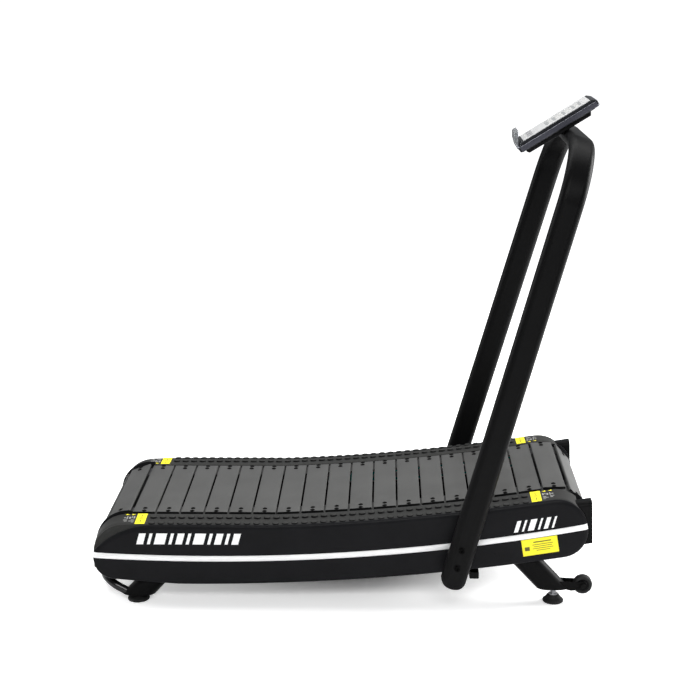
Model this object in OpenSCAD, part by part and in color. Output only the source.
// Curved manual treadmill: an endless belt of slats that the runner drives by foot.
// Millimetres. +X is the front, where the console is, +Y the left and +Z up.
// The origin is on the floor, under the middle of the machine.

/* [Slat belt] */
// Distance from one slat to the next along the belt
slat_pitch = 72; // [71.5:0.25:72.5]
// Width of a slat along the belt
slat_w = 68; // [64:1:69]
// Thickness of a slat
slat_t = 7; // [6:0.5:8]
// Half the length of a slat, so half the running width
slat_half = 220; // [210:1:222]
// Inner edge of each carrier belt, from the centre plane
carrier_in = 150; // [145:1:160]
// Outer edge of each carrier belt, from the centre plane
carrier_out = 214; // [205:1:215]
// Thickness of a carrier belt
carrier_t = 4; // [3:0.5:5]

/* [Belt path] */
// Radius of the belt's pitch line round each drum
drum_r = 81.2; // [80:0.2:83]
// Rear drum axis, along X
drum_rear_x = -641; // [-643:1:-636]
// Front drum axis, along X
drum_front_x = 625; // [622:1:628]
// Height of the running surface at the rear
rear_top_z = 258.5; // [255:0.5:262]
// Height of the running surface over the front drum
front_top_z = 341.5; // [338:0.5:345]
// Where the flat rear part ends and the curve begins, along X
curve_x = -201; // [-205:1:-198]
// Slope of the curve where it begins, in degrees
curve_slope = 2.12; // [2:0.02:2.3]
// Sag of the returning lower run
lower_sag = 30; // [26:1:32]

/* [Frame] */
// Inner face of each side plate, from the centre plane
plate_in = 230; // [229:1:231]
// Thickness of each side plate
plate_t = 6; // [5:0.5:6]
// Outer face of each side cover, from the centre plane
cover_out = 315; // [314:1:317]
// Sheet thickness of the side covers
cover_t = 3; // [2:0.5:3]
// Lean of the legs from the vertical, in degrees
leg_lean = 42.8; // [42:0.2:44]
// Width of a leg across the machine
leg_y = 53; // [52.5:0.5:54]
// Centre of each leg, foot and wheel from the centre plane
leg_at = 262; // [261:1:264]

/* [Handrail] */
// Long side of the flat oval tube
tube_w = 75; // [70:1:76]
// Short side of the flat oval tube
tube_t = 40; // [38:1:40]
// Centre of each post from the centre plane, at its lower end
post_y = 370; // [366:1:372]
// Lean of the posts towards the front, in degrees
post_lean = 15.9; // [15.5:0.1:16.3]
// Lean of the posts towards each other, in degrees
post_in = 2.4; // [1.8:0.1:2.8]
// Bend radius of the handrail, to the centre of the tube
bend_r = 165; // [140:5:180]

/* [Console] */
// Width of the console across the machine
console_w = 140; // [130:2:150]
// Tilt of the console, in degrees
console_tilt = 31.6; // [31:0.2:32]
// Travel of each button
button_travel = 0.8; // [0.5:0.1:1]

/* [Running gear] */
// Radius of the support bearings
roller_r = 23.5; // [22:0.5:24]
// Width of the support bearings
roller_w = 14; // [12:1:16]
// Support bearings along each side
roller_count = 16; // [12:1:16]
// Radius of the transport wheels
wheel_r = 28.5; // [27:0.5:29]
// Width of the transport wheels
wheel_w = 24; // [22:1:26]
// Radial running clearance of shafts in their bores
fit = 0.05; // [0.03:0.01:0.08]

/* [Hidden] */
$fn = 96;
// Facets of the arcs that are metres across
long_arc = 2880;

// ---- Belt path. Points and outlines are [x, z], and angles are slopes in degrees ----
face_off = carrier_t / 2 + slat_t;
rear_c = [drum_rear_x, rear_top_z - face_off - drum_r];
front_c = [drum_front_x, front_top_z - face_off - drum_r];
curve_start = [curve_x, rear_top_z - face_off];

// The curved run begins at curve_start and ends tangent to the front drum
start_n = [-sin(curve_slope), cos(curve_slope)];
start_d = curve_start - front_c;
run_r = (start_d * start_d - drum_r * drum_r) / (2 * drum_r - 2 * (start_d * start_n));
run_c = curve_start + run_r * start_n;
front_slope = atan((front_c.x - run_c.x) / (run_c.y - front_c.y));
run_len = arc_len(run_r, front_slope - curve_slope);
flat_len = curve_x - drum_rear_x;

// The lower run hangs in an arc under both drums
drums = front_c - rear_c;
span = norm(drums);
low_r = drum_r + (span * span / 4 + lower_sag * lower_sag) / (2 * lower_sag);
low_c = (front_c + rear_c) / 2 + (low_r - drum_r - lower_sag) * [-drums.y, drums.x] / span;
low_front = atan((front_c.x - low_c.x) / (low_c.y - front_c.y));
low_rear = atan((rear_c.x - low_c.x) / (low_c.y - rear_c.y));
front_wrap = 180 + front_slope - low_front;
rear_wrap = 180 + low_rear;

// Slats on each stretch. What the drums' slats leave of the lower run is shared evenly
flat_n = 6;
curved_n = 11;
wrap_n = 4;
front_start = curved_n * slat_pitch - run_len;
rear_start = flat_n * slat_pitch - flat_len;
front_over = front_start + wrap_n * slat_pitch - arc_len(drum_r, front_wrap);
rear_over = rear_start + wrap_n * slat_pitch - arc_len(drum_r, rear_wrap);
low_free = arc_len(low_r, low_front - low_rear) - front_over - rear_over;
low_n = round(low_free / slat_pitch);
low_pitch = low_free / low_n;

function arc_len(r, a) = r * a * PI / 180;
function arc_angle(r, s) = s / r * 180 / PI;
// Height of the running surface and of the lower run's inner side at x
function curve_z(x) = run_c.y - sqrt(pow(run_r, 2) - pow(x - run_c.x, 2));
function run_z(x) = x < curve_x ? curve_start.y : curve_z(x);
function low_z(x) = low_c.y - sqrt(pow(low_r, 2) - pow(x - low_c.x, 2));

// ---- Outline of the side covers, grown or shrunk by an offset d ----
cover_off = 4;
nose_x = -737;
nose_top_r = 267;
nose_top = [-543.5, curve_start.y + cover_off - nose_top_r];
nose_low = [-676, 143];
nose_low_r = 60;
lobe_c = [634, 236];
lobe_r = 80;
belly_c = [-456, 6868];
belly_r = 6800;
belly_rear_x = -487;
sky = 600;

function nose_end(d) = nose_x - min(d, 0);
function reversed(v) = [for (i = [len(v) - 1 : -1 : 0]) v[i]];
// Points on an arc, between two slopes, where 0 is straight down and 90 is the front
function arc_pts(c, r, a0, a1, n) = [for (i = [0 : n])
    let(a = a0 + (a1 - a0) * i / n) c + r * [sin(a), -cos(a)]];

// Rear nose, flat, curve and front, from the rear to the front
function top_edge(d) = concat(
    arc_pts(nose_top, nose_top_r + d,
            180 + asin((nose_top.x - nose_end(d)) / (nose_top_r + d)), 180, 10),
    arc_pts(run_c, run_r - cover_off - d, curve_slope, front_slope, 14),
    arc_pts(front_c, drum_r + cover_off + d, 178 + front_slope, 105, 10));

function belly_slope(x) = asin((x - belly_c.x) / belly_r);
function belly_z(x) = belly_c.y - belly_r * cos(belly_slope(x));
function bottom_edge(d) = concat(
    arc_pts(lobe_c, lobe_r + d, 100, belly_slope(lobe_c.x), 10),
    arc_pts(belly_c, belly_r + d, belly_slope(lobe_c.x), belly_slope(belly_rear_x), 14),
    arc_pts(nose_low, nose_low_r + d, -5, -81, 8),
    [[nose_end(d), nose_low.y + 9]]);

module cover_outline(d) { polygon(concat(top_edge(d), bottom_edge(d))); }

// ---- Helpers ----
// An outline in x and z, thickened along Y from y0 to y1
module side(y0, y1) {
    translate([0, y1, 0]) rotate([90, 0, 0]) linear_extrude(height = y1 - y0) children();
}

// An outline in y and z, thickened along X from x0 to x1
module across(x0, x1) {
    translate([x0, 0, 0]) rotate([90, 0, 90]) linear_extrude(height = x1 - x0) children();
}

module both() { children(); mirror([0, 1, 0]) children(); }

// The left part as drawn, or its mirror image on the right
module on_side(left) { mirror([0, left ? 0 : 1, 0]) children(); }

module flat_oval(w, t) {
    square([w - t, t], center = true);
    for (s = [-1, 1]) translate([s * (w - t) / 2, 0]) circle(d = t);
}

// A rod along Y, centred on [x, z]
module rod(p, r, y0, y1) {
    translate([p.x, y1, p.y]) rotate([90, 0, 0]) cylinder(r = r, h = y1 - y0);
}

module tube(p, r_out, r_in, y0, y1) {
    difference() {
        rod(p, r_out, y0, y1);
        rod(p, r_in, y0 - 1, y1 + 1);
    }
}

module hex_rod(p, r, y0, y1) {
    translate([p.x, y1, p.y]) rotate([90, 0, 0]) cylinder(r = r, h = y1 - y0, $fn = 6);
}

// ---- Belt ----
module slat(p, a) {
    bevel = 1.5;
    half = slat_w / 2;
    low = carrier_t / 2;
    high = face_off;
    side(-slat_half, slat_half) translate(p) rotate(a)
        polygon([[-half, low], [half, low], [half, high - bevel], [half - bevel, high],
                 [bevel - half, high], [-half, high - bevel]]);
}

// A slat on an arc whose centre is above it, a degrees of slope along it
module slat_on_arc(c, r, a, flip) {
    slat(c + r * [sin(a), -cos(a)], a + (flip ? 180 : 0));
}

// A wedge from c, between two slopes a0 and a1
module wedge(c, a0, a1, reach) { polygon(concat([c], arc_pts(c, reach, a0, a1, 4))); }

module arc_band(c, r0, r1, a0, a1) {
    intersection() {
        difference() {
            translate(c) circle(r = r1, $fn = 360);
            translate(c) circle(r = r0, $fn = 360);
        }
        wedge(c, a0, a1, r1 * 1.3);
    }
}

// A strip along an arc, bent only where one slat meets the next. Its chords stay outside r0
module bent_strip(c, r0, r1, a0, a1, n) {
    chord_r = r0 / cos((a1 - a0) / n / 2);
    polygon(concat(arc_pts(c, chord_r, a0, a1, n), arc_pts(c, r1, a1, a0, n)));
}

// Free runs clear the pulleys by slack where they leave them, and the slats by lay
slack = 0.3;
lay = 0.05;
join = 1;

module carriers() { both() side(carrier_in, carrier_out) children(); }

module curved_run_slats() {
    color("dimgray") for (k = [0 : curved_n - 1])
        slat_on_arc(run_c, run_r, curve_slope + arc_angle(run_r, (k + 0.5) * slat_pitch), false);
}

module curved_run_carriers() {
    gap = arc_angle(run_r, join);
    last = curve_slope + arc_angle(run_r, curved_n * slat_pitch);
    color("gray") carriers()
        bent_strip(run_c, run_r - carrier_t / 2 + lay, run_r + carrier_t / 2 - slack,
                   curve_slope + gap, last - gap, curved_n);
}

module flat_run_slats() {
    color("dimgray") for (k = [0 : flat_n - 1])
        slat(curve_start - [(k + 0.5) * slat_pitch, 0], 0);
}

module flat_run_carriers() {
    len = flat_n * slat_pitch - 2 * join;
    color("gray") carriers()
        translate(curve_start - [len + join, carrier_t / 2 - slack])
            square([len, carrier_t - slack]);
}

module lower_run_slats() {
    color("dimgray") for (k = [0 : low_n - 1])
        slat_on_arc(low_c, low_r, low_rear + arc_angle(low_r, rear_over + (k + 0.5) * low_pitch), true);
}

module lower_run_carriers() {
    color("gray") carriers()
        bent_strip(low_c, low_r - carrier_t / 2 + slack, low_r + carrier_t / 2,
                   low_rear + arc_angle(low_r, rear_over + join),
                   low_front - arc_angle(low_r, front_over + join), low_n);
}

module front_wrap_slats() {
    color("dimgray") for (k = [0 : wrap_n - 1])
        slat_on_arc(front_c, drum_r, 180 + front_slope
                    - arc_angle(drum_r, front_start + (k + 0.5) * slat_pitch), true);
}

module front_wrap_carriers() {
    color("gray") carriers()
        arc_band(front_c, drum_r - carrier_t / 2, drum_r + carrier_t / 2 - lay,
                 180 + front_slope, 180 + front_slope - front_wrap);
}

module rear_wrap_slats() {
    color("dimgray") for (k = [0 : wrap_n - 1])
        slat_on_arc(rear_c, drum_r,
                    180 + arc_angle(drum_r, rear_start + (k + 0.5) * slat_pitch), true);
}

module rear_wrap_carriers() {
    color("gray") carriers()
        arc_band(rear_c, drum_r - carrier_t / 2, drum_r + carrier_t / 2 - lay,
                 180, 180 + rear_wrap);
}

// ---- Drums ----
shaft_r = 12.5;
shaft_half = 264;

module shaft(c) { color("silver") rod(c, shaft_r, -shaft_half, shaft_half); }

// Rim, web and hub of one belt pulley, turned round its axis
module pulley(c) {
    rim = drum_r - carrier_t / 2;
    mid = (carrier_in + carrier_out) / 2;
    both() translate([c.x, 0, c.y]) rotate([-90, 0, 0]) rotate_extrude()
        polygon([[shaft_r, carrier_in + 6], [24, carrier_in + 6], [24, mid - 5],
                 [rim - 7, mid - 5], [rim - 7, carrier_in], [rim, carrier_in],
                 [rim, carrier_out], [rim - 7, carrier_out], [rim - 7, mid + 5],
                 [24, mid + 5], [24, carrier_out - 6], [shaft_r, carrier_out - 6]]);
}

module front_shaft() { shaft(front_c); }
module rear_shaft() { shaft(rear_c); }
module front_pulleys() { color("darkgray") pulley(front_c); }
module rear_pulleys() { color("darkgray") pulley(rear_c); }

// ---- Support bearings under the upper run ----
roller_bore = 10;
inner_r = 13.5;
outer_in = roller_r - 4;
roller_in = 164;
drum_clear = 114;
roller_gap = 0.5;
stud_r = 6;
stud_sink = 1;

function roller_x(i) = let(x0 = drum_rear_x + drum_clear, x1 = drum_front_x - drum_clear)
    x0 + (x1 - x0) * i / (roller_count - 1);
function roller_at(i) = let(x = roller_x(i))
    x < curve_x ? [x, curve_start.y - carrier_t / 2 - roller_gap - roller_r]
    : let(a = asin((x - run_c.x) / run_r))
      run_c + (run_r + carrier_t / 2 + roller_gap + roller_r) * [sin(a), -cos(a)];

module each_roller() {
    for (i = [0 : roller_count - 1]) both() translate([roller_at(i).x, 0, roller_at(i).y])
        children();
}

module roller_rings() {
    color("lightgray") each_roller() {
        tube([0, 0], roller_r, outer_in, roller_in, roller_in + roller_w);
        tube([0, 0], inner_r, roller_bore, roller_in, roller_in + roller_w);
    }
}

module roller_seals() {
    color("teal") each_roller()
        tube([0, 0], outer_in, inner_r, roller_in + 0.5, roller_in + roller_w - 0.5);
}

module roller_studs() {
    collar = 12;
    head = 9;
    color("gray") each_roller() {
        rod([0, 0], head, roller_in - 4, roller_in);
        rod([0, 0], roller_bore, roller_in, roller_in + roller_w);
        rod([0, 0], collar, roller_in + roller_w, plate_in);
        rod([0, 0], stud_r, plate_in, plate_out - stud_sink);
    }
}

// ---- Frame ----
leg_w = 72;
leg_wall = 3;
plate_out = plate_in + plate_t;
front_leg_foot = [620, 45];
rear_leg_foot = [-612, 20];
leg_len = 255;
end_plate = 6;
foot_x = [622, -614];
stem_r = 8;
spacer_r = 15;
bolt_r = 5;
bolts = [[343, 208], [330.5, 154]];

// A leg rises from the middle of its foot end towards the middle of the machine
module leg_solid(foot, dir, grow) {
    intersection() {
        translate([foot.x, leg_at, foot.y]) rotate([0, -dir * leg_lean, 0])
            translate([0, 0, -60]) linear_extrude(height = leg_len + 60)
                flat_oval(leg_w + 2 * grow, leg_y + 2 * grow);
        translate([-900, 0, foot.y - min(grow, 0)]) cube([1800, 400, 500]);
    }
}

module leg(foot, dir, stem_x) {
    difference() {
        leg_solid(foot, dir, 0);
        intersection() {
            leg_solid(foot, dir, -leg_wall);
            translate([-900, 0, foot.y + end_plate]) cube([1800, 400, 500]);
        }
        translate([stem_x, leg_at, foot.y - 1]) cylinder(r = stem_r + fit, h = end_plate + 2);
    }
}

module side_plate() {
    difference() {
        side(plate_in, plate_out) difference() {
            cover_outline(-10);
            translate(front_c) circle(r = 20);
            translate([rear_c.x - 14, rear_c.y - 18]) square([40, 36]);
        }
        for (i = [0 : roller_count - 1]) rod(roller_at(i), stud_r, plate_in - 1, plate_out + 1);
        for (b = bolts) rod(b, bolt_r, plate_in - 1, plate_out + 1);
        for (b = bearing_holes()) rod(b, 4, plate_in - 1, plate_out + 1);
    }
}

module side_frame() {
    side_plate();
    leg(front_leg_foot, 1, foot_x[0]);
    leg(rear_leg_foot, -1, foot_x[1]);
    // Tab that takes the belt tension bolt
    difference() {
        translate([rear_c.x - 62, plate_out, rear_c.y - 15]) cube([8, 26, 30]);
        translate([rear_c.x - 63, plate_out + 13, rear_c.y]) rotate([0, 90, 0])
            cylinder(r = 5, h = 10);
    }
}

module side_frame_left() { color([0.08, 0.08, 0.08]) side_frame(); }
module side_frame_right() { color([0.08, 0.08, 0.08]) on_side(false) side_frame(); }

// Square tubes between the side plates, halfway between the two runs of the belt
cross_x = [-470, -180, 150, 450];
cross_size = [40, 50];
cross_wall = 3;
tie_at = [387, 82];
tie_size = [28, 20];

module square_tube(p, size, y0, y1) {
    side(y0, y1) translate(p) difference() {
        square(size, center = true);
        square(size - 2 * [cross_wall, cross_wall], center = true);
    }
}

module cross_members() {
    color([0.08, 0.08, 0.08]) {
        for (x = cross_x)
            square_tube([x, (run_z(x) - 50 + low_z(x)) / 2], cross_size, -plate_in, plate_in);
        square_tube(tie_at, tie_size, -plate_out - 30, plate_out + 30);
        both() side(plate_out, plate_out + 5)
            translate(tie_at + [-10, tie_size.y / 2]) square([20, 60]);
    }
}

// ---- Covers ----
module side_cover() {
    skirt = 6.5;
    difference() {
        union() {
            side(cover_out - cover_t, cover_out) cover_outline(0);
            side(cover_out - skirt, cover_out - cover_t) difference() {
                cover_outline(0);
                cover_outline(-cover_t);
            }
        }
        for (b = bolts) rod(b, spacer_r + 1, cover_out - 5, cover_out + 1);
    }
}

module side_cover_left() { color([0.13, 0.13, 0.13]) side_cover(); }
module side_cover_right() { color([0.13, 0.13, 0.13]) on_side(false) side_cover(); }

rail_in = 225;
rail_out = 308;
rail_low = 4;
rail_top = 7;
rail_nose = 90;
rail_wall = 3;
rail_end_z = 118;
lip_r0 = 80;
lip_r1 = 98;
rear_lip = [180, 285];
front_lip = [92, 148];
box_x0 = 675;

// Over the rear drum the rails run as a half ellipse, fuller than the covers' nose
function rail_edge(d) = concat(
    [for (a = [270 : -7.5 : 187.5])
        rear_c + [(rail_nose + d) * sin(a), -(drum_r + cover_off + d) * cos(a)]],
    [for (p = top_edge(d)) if (p.x > rear_c.x) p]);

// A band that follows the top of the rails, between two offsets and two x values
module rail_band(d0, d1, x0, x1) {
    intersection() {
        polygon(concat(rail_edge(d1), reversed(rail_edge(d0))));
        translate([x0, 150]) square([x1 - x0, sky]);
    }
}

module rail_cover() {
    nose = rear_c.x - rail_nose - rail_top;
    side(rail_in, rail_out) rail_band(rail_low, rail_top, nose, box_x0 - 1);
    translate([nose, rail_in, rail_end_z])
        cube([rail_wall, rail_out - rail_in, rear_c.y - rail_end_z]);
    // Inner wall, with a round lip beside each drum
    side(rail_in, rail_in + rail_wall) {
        rail_band(-8, rail_low, rear_c.x, box_x0 - 1);
        arc_band(rear_c, lip_r0, lip_r1, rear_lip[0], rear_lip[1]);
        arc_band(front_c, lip_r0, lip_r1, front_lip[0], front_lip[1]);
    }
}

module rail_cover_left() { color([0.27, 0.27, 0.26]) rail_cover(); }
module rail_cover_right() { color([0.27, 0.27, 0.26]) on_side(false) rail_cover(); }

stripe_c = [-396, 6012];
stripe_r = 5861.5;
stripe_w = 17;

module cover_stripes() {
    stretch = 1100;
    color("white") both() side(cover_out, cover_out + 0.6) intersection() {
        difference() {
            translate(stripe_c) circle(r = stripe_r + stripe_w / 2, $fn = long_arc);
            translate(stripe_c) circle(r = stripe_r - stripe_w / 2, $fn = long_arc);
        }
        cover_outline(-1);
        // The stripe stops on each side of the upper spacer
        for (x = [bolts[0].x - spacer_r - 2 - stretch, bolts[0].x + spacer_r + 2])
            translate([x, 0]) square([stretch, sky]);
    }
}

rear_tag = [-611, -581];
front_tag = [549, 577];

// Plain tags across the rails near both ends
module edge_markers() {
    color("yellow") both() side(rail_in + 6, rail_out - 2) {
        rail_band(rail_top, rail_top + 0.6, rear_tag[0], rear_tag[1]);
        rail_band(rail_top, rail_top + 0.6, front_tag[0], front_tag[1]);
    }
}

label_at = [574.3, 195.6];
label_size = [105, 50.5];

module blank_label() {
    color("yellow") both() side(cover_out, cover_out + 0.5)
        translate(label_at) rotate(front_slope) square(label_size, center = true);
}

bracket_x = [-420, -150, 120, 432];

module cover_brackets() {
    color([0.1, 0.1, 0.1]) both() for (x = bracket_x) {
        z = belly_z(x) + 16;
        difference() {
            translate([x - 15, plate_out, z]) cube([30, cover_out - cover_t - plate_out, 4]);
            translate([x, cover_out - 20, z - 1]) cylinder(r = 3, h = 6);
        }
        translate([x - 15, plate_out, z + 4]) cube([30, 4, 26]);
        translate([x - 15, cover_out - cover_t - 4, z + 4]) cube([30, 4, 26]);
    }
}

module cover_screws() {
    color("black") both() for (x = bracket_x) {
        z = belly_z(x) + 16;
        translate([x, cover_out - 20, z - 3]) cylinder(r = 5.5, h = 3);
        translate([x, cover_out - 20, z]) cylinder(r = 3, h = 12);
    }
}

// Folded box that closes the front end of each rail, along the slope of the belt's end
box_top = [722, 329];
box_h = 127;
box_y = [258, 306];
box_round = 14;
box_wall = 3;

// Its section across the machine, hung from the top
module box_section(inset) {
    y = box_y + inset * [1, -1];
    r = box_round - inset;
    low = -box_h - inset;
    translate([y[0], low]) square([y[1] - y[0], -box_round - low]);
    translate([y[0] + r, low]) square([y[1] - y[0] - 2 * r, -inset - low]);
    for (c = [y[0] + r, y[1] - r]) translate([c, -box_round]) circle(r = r);
}

module box_solid(inset) {
    lean = 7;
    intersection() {
        translate([box_top.x, 0, box_top.y]) rotate([0, -front_slope, 0])
            across(-90, 60) box_section(inset);
        side(0, 400) polygon([[box_x0 + inset, 150], [box_x0 + inset, 400],
                              [box_top.x - 2 - inset, 400], [box_top.x + lean - inset, 150]]);
    }
}

module front_box() {
    difference() {
        box_solid(0);
        box_solid(box_wall);
    }
}

module front_box_left() { color([0.1, 0.1, 0.1]) front_box(); }
module front_box_right() { color([0.1, 0.1, 0.1]) on_side(false) front_box(); }

// ---- Handrail ----
post_mid = [446.3, 555];
post_low = -455;
cross_h = (1346.5 - post_mid.y) / cos(post_lean);
post_len = (cross_h - post_low - bend_r * (1 - sin(post_in))) / cos(post_in);
bend_c = [post_y - bend_r * cos(post_in) - post_len * sin(post_in), cross_h - bend_r];
tube_wall = 2.5;
cap_len = 29;
bolt_head = 8;

// Middle of a post's tube, from the centre plane, where a bolt at [x, z] crosses it
function post_mid_y(b) = let(rise = (b - post_mid) * [sin(post_lean), cos(post_lean)])
    post_y - (rise - post_low) * tan(post_in);

module in_hoop() {
    translate([post_mid.x, 0, post_mid.y]) rotate([0, post_lean, 0]) children();
}

// Within the hoop, from the lower end of the left post along its axis
module in_post() { translate([0, post_y, post_low]) rotate([post_in, 0, 0]) children(); }

module hoop(w, t, over) {
    both() in_post() {
        translate([0, 0, -over]) linear_extrude(height = post_len + over) flat_oval(w, t);
        translate([0, -bend_r, post_len]) rotate([90, 0, 90])
            rotate_extrude(angle = 90 - post_in) translate([bend_r, 0]) rotate(90)
                flat_oval(w, t);
    }
    translate([0, bend_c.x, cross_h]) rotate([90, 0, 0])
        linear_extrude(height = 2 * bend_c.x) flat_oval(w, t);
}

module handrail() {
    color([0.07, 0.07, 0.07]) difference() {
        in_hoop() difference() {
            hoop(tube_w, tube_t, 0);
            hoop(tube_w - 2 * tube_wall, tube_t - 2 * tube_wall, 5);
        }
        both() for (b = bolts) rod(b, bolt_r, post_y - 40, post_y + 40);
    }
}

module post_caps() {
    plug = 14;
    color([0.05, 0.05, 0.05]) in_hoop() both() in_post() {
        intersection() {
            translate([0, 0, -cap_len]) linear_extrude(height = cap_len)
                flat_oval(tube_w, tube_t);
            side(-tube_t, tube_t) polygon([for (a = [0 : 7.5 : 180])
                [tube_w / 2 * cos(a), -cap_len * sin(a)]]);
        }
        linear_extrude(height = plug) flat_oval(tube_w - 2 * tube_wall, tube_t - 2 * tube_wall);
    }
}

module post_spacers() {
    color([0.1, 0.1, 0.1]) both() for (b = bolts)
        tube(b, spacer_r, bolt_r, plate_out,
             post_mid_y(b) - tube_t / 2 / cos(post_in) - spacer_r * tan(post_in));
}

module post_bolts() {
    color("gray") both() for (b = bolts) {
        head_y = post_mid_y(b) + tube_t / 2 / cos(post_in) + bolt_head * tan(post_in);
        rod(b, bolt_r, plate_in - 8, head_y);
        difference() {
            rod(b, bolt_head, head_y, head_y + 7);
            hex_rod(b, 4.6, head_y + 3, head_y + 8);
        }
    }
}

// Lift handle at the rear: two arms from the legs, joined by a bar behind the belt
handle_r = 12.5;
handle_bar = [-722, 67];
handle_end = [-650, 26];
handle_bend = 60;

module lift_handle() {
    reach = norm(handle_end - handle_bar);
    tilt = atan2(handle_bar.y - handle_end.y, handle_end.x - handle_bar.x);
    corner = leg_at - handle_bend;
    color([0.05, 0.05, 0.05])
        translate([handle_bar.x, 0, handle_bar.y]) rotate([0, tilt, 0]) {
            rod([0, 0], handle_r, -corner, corner);
            both() {
                translate([handle_bend, corner, 0]) rotate([0, 0, 90])
                    rotate_extrude(angle = 90) translate([handle_bend, 0]) circle(r = handle_r);
                translate([handle_bend, leg_at, 0]) rotate([0, 90, 0])
                    cylinder(r = handle_r, h = reach - handle_bend);
            }
        }
}

// ---- Drum bearings and belt tension ----
housing_t = 24;
ear = 38;

function bearing_holes() = [for (s = [-1, 1], t = [-1, 1])
    (s < 0 ? rear_c : front_c) + [0, t * ear]];

module housing(c) {
    both() difference() {
        union() {
            side(plate_out, plate_out + 9) {
                translate(c - [20, ear]) square([40, 2 * ear]);
                for (t = [-1, 1]) translate(c + [0, t * ear]) circle(r = 14);
            }
            rod(c, 30, plate_out, plate_out + housing_t);
        }
        rod(c, shaft_r + fit, plate_out - 1, plate_out + housing_t + 1);
        for (t = [-1, 1]) rod(c + [0, t * ear], 4, plate_out - 1, plate_out + 10);
    }
}

module front_bearings() { color("dimgray") housing(front_c); }
module rear_bearings() { color("dimgray") housing(rear_c); }

module bearing_bolts() {
    color("silver") both() for (b = bearing_holes()) {
        rod(b, 4, plate_in - 4, plate_out + 9);
        hex_rod(b, 7.5, plate_out + 9, plate_out + 14);
    }
}

module tension_bolts() {
    y = plate_out + 13;
    color("silver") both() translate([rear_c.x, y, rear_c.y]) rotate([0, -90, 0]) {
        translate([0, 0, 30]) cylinder(r = 5, h = 34);
        translate([0, 0, 64]) cylinder(r = 9, h = 7, $fn = 6);
    }
}

module speed_sensor() {
    color([0.15, 0.15, 0.15]) translate([front_c.x - 100, plate_in - 12, front_c.y - 40])
        cube([34, 12, 18]);
}

// ---- Wheels and feet ----
wheel_at = [708, 55];
axle_r = 4;
cheek_gap = 1.5;
cheek_t = 4;

module wheel() {
    color([0.1, 0.1, 0.1]) translate([wheel_at.x, leg_at, wheel_at.y]) rotate([90, 0, 0])
        rotate_extrude() {
            h = wheel_w / 2;
            round_r = 4;
            polygon([[axle_r + fit, -h], [11, -h], [11, 3 - h], [20, 3 - h], [20, -h],
                     [wheel_r - round_r, -h], [wheel_r, round_r - h], [wheel_r, h - round_r],
                     [wheel_r - round_r, h], [20, h], [20, h - 3], [11, h - 3], [11, h],
                     [axle_r + fit, h]]);
        }
}

module wheel_left() { wheel(); }
module wheel_right() { on_side(false) wheel(); }

module wheel_brackets() {
    inner = wheel_w / 2 + cheek_gap;
    color([0.08, 0.08, 0.08]) both() difference() {
        for (s = [-1, 1]) {
            y = leg_at + s * (inner + cheek_t / 2);
            side(y - cheek_t / 2, y + cheek_t / 2) {
                polygon([[610, 70], [684, 66], wheel_at + [0, 13], wheel_at - [0, 13],
                         [672, 40], [636, 50]]);
                translate(wheel_at) circle(r = 13);
            }
        }
        leg_solid(front_leg_foot, 1, 0);
        rod(wheel_at, axle_r, leg_at - 40, leg_at + 40);
    }
}

module wheel_axles() {
    end = wheel_w / 2 + cheek_gap + cheek_t;
    color("silver") both() {
        rod(wheel_at, axle_r, leg_at - end - 5, leg_at + end);
        rod(wheel_at, 7, leg_at + end, leg_at + end + 5);
        hex_rod(wheel_at, 7.5, leg_at - end - 11, leg_at - end - 5);
    }
}

// A rubber pad on a threaded stem
module foot(x, pad_h, pad_r, stem_top) {
    translate([x, leg_at, 0]) {
        color([0.08, 0.08, 0.08]) rotate_extrude()
            polygon([[0, 0], [pad_r - 2, 0], [pad_r, 3], [pad_r, 7], [pad_r * 0.5, pad_h],
                     [0, pad_h]]);
        color("silver") translate([0, 0, pad_h]) cylinder(r = stem_r, h = stem_top - pad_h);
    }
}

module foot_front_left() { foot(foot_x[0], 24, 31, 66); }
module foot_front_right() { on_side(false) foot(foot_x[0], 24, 31, 66); }
module foot_rear_left() { foot(foot_x[1], 17, 33, 54); }
module foot_rear_right() { on_side(false) foot(foot_x[1], 17, 33, 54); }

module foot_nuts() {
    color("silver") both() for (i = [0, 1]) {
        z = [front_leg_foot.y, rear_leg_foot.y][i] + end_plate;
        translate([foot_x[i], leg_at, z]) difference() {
            cylinder(r = 13, h = 8, $fn = 6);
            translate([0, 0, -1]) cylinder(r = stem_r + fit, h = 10);
        }
    }
}

// ---- Console. Outlines are in u, up the slope, and v, away from its back ----
console_at = [618, 1370.5];
back_low = -14;
face_v = 27;

module console_frame() {
    translate([console_at.x, 0, console_at.y]) rotate([0, -console_tilt, 0]) children();
}

module console_back() {
    color([0.06, 0.06, 0.06]) console_frame() side(-52, 52)
        polygon([[-100, 0], [-106, -6], [-100, back_low], [104, back_low], [112, 0]]);
}

module console_housing() {
    half = console_w / 2;
    color([0.15, 0.15, 0.2]) console_frame() difference() {
        side(-half, half)
            polygon([[-121, 3], [-115, 0], [121, 0], [139, 8], [139, 18], [128, face_v],
                     [-103, face_v], [-121, 16]]);
        side(-half + 6, half - 6)
            translate([-98, face_v - 5]) square([220, 6]);
        side(-half + 10, half - 10) translate([-94, 4]) square([212, face_v - 8]);
    }
}

button_u = -72;
button_pitch = 34;
button_size = [16, 22];

module console_face() {
    half = console_w / 2 - 6;
    color([0.75, 0.75, 0.75]) console_frame() difference() {
        side(-half, half) translate([-98, face_v - 5]) square([220, 6]);
        side(-44, 44) translate([-20, face_v - 6]) square([118, 8]);
        for (i = [-1, 0, 1]) side(i * button_pitch - 11.3, i * button_pitch + 11.3)
            translate([button_u - 8.3, face_v - 6]) square([16.6, 8]);
    }
}

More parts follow.
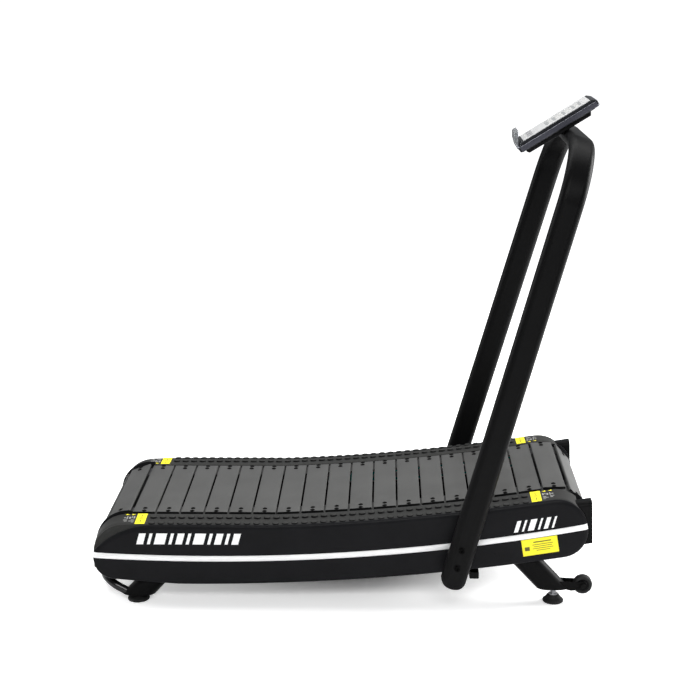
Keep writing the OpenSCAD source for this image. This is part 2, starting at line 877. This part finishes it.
module console_screen() {
    color([0.1, 0.12, 0.12]) console_frame() side(-44, 44)
        translate([-20, face_v - 5]) square([118, 5]);
}

module console_button(i) {
    color([0.3, 0.3, 0.32]) console_frame()
        side(i * button_pitch - button_size.y / 2, i * button_pitch + button_size.y / 2)
            translate([button_u - button_size.x / 2, face_v - 5 + button_travel])
                square([button_size.x, 6.4]);
}

module button_1() { console_button(-1); }
module button_2() { console_button(0); }
module button_3() { console_button(1); }

module console_ledge() {
    color([0.8, 0.8, 0.8, 0.6]) console_frame() side(-50, 50)
        polygon([[-121.3, 10], [-121.3, 16], [-108, 38], [-96, 58], [-108, 58], [-119, 40],
                 [-124, 20], [-124, 12]]);
}

module console_bracket() {
    color([0.08, 0.08, 0.08]) difference() {
        union() {
            console_frame() side(-34, 34)
                polygon([[-30, back_low], [-22, -50], [14, -50], [34, back_low]]);
        }
        in_hoop() translate([0, 60, cross_h]) rotate([90, 0, 0])
            linear_extrude(height = 120) flat_oval(tube_w, tube_t);
        in_hoop() translate([-90, -60, cross_h - 200]) cube([200, 120, 200]);
    }
}

side_frame_left();
side_frame_right();
cross_members();
side_cover_left();
side_cover_right();
rail_cover_left();
rail_cover_right();
cover_stripes();
edge_markers();
blank_label();
cover_brackets();
cover_screws();
front_box_left();
front_box_right();
handrail();
post_spacers();
post_bolts();
post_caps();
lift_handle();
front_bearings();
rear_bearings();
bearing_bolts();
tension_bolts();
roller_rings();
roller_seals();
roller_studs();
wheel_brackets();
wheel_axles();
wheel_left();
wheel_right();
foot_front_left();
foot_front_right();
foot_rear_left();
foot_rear_right();
foot_nuts();
console_bracket();
console_back();
console_housing();
console_face();
console_screen();
console_ledge();
button_1();
button_2();
button_3();
speed_sensor();
front_shaft();
front_pulleys();
front_wrap_slats();
front_wrap_carriers();
rear_shaft();
rear_pulleys();
rear_wrap_slats();
rear_wrap_carriers();
curved_run_slats();
curved_run_carriers();
flat_run_slats();
flat_run_carriers();
lower_run_slats();
lower_run_carriers();
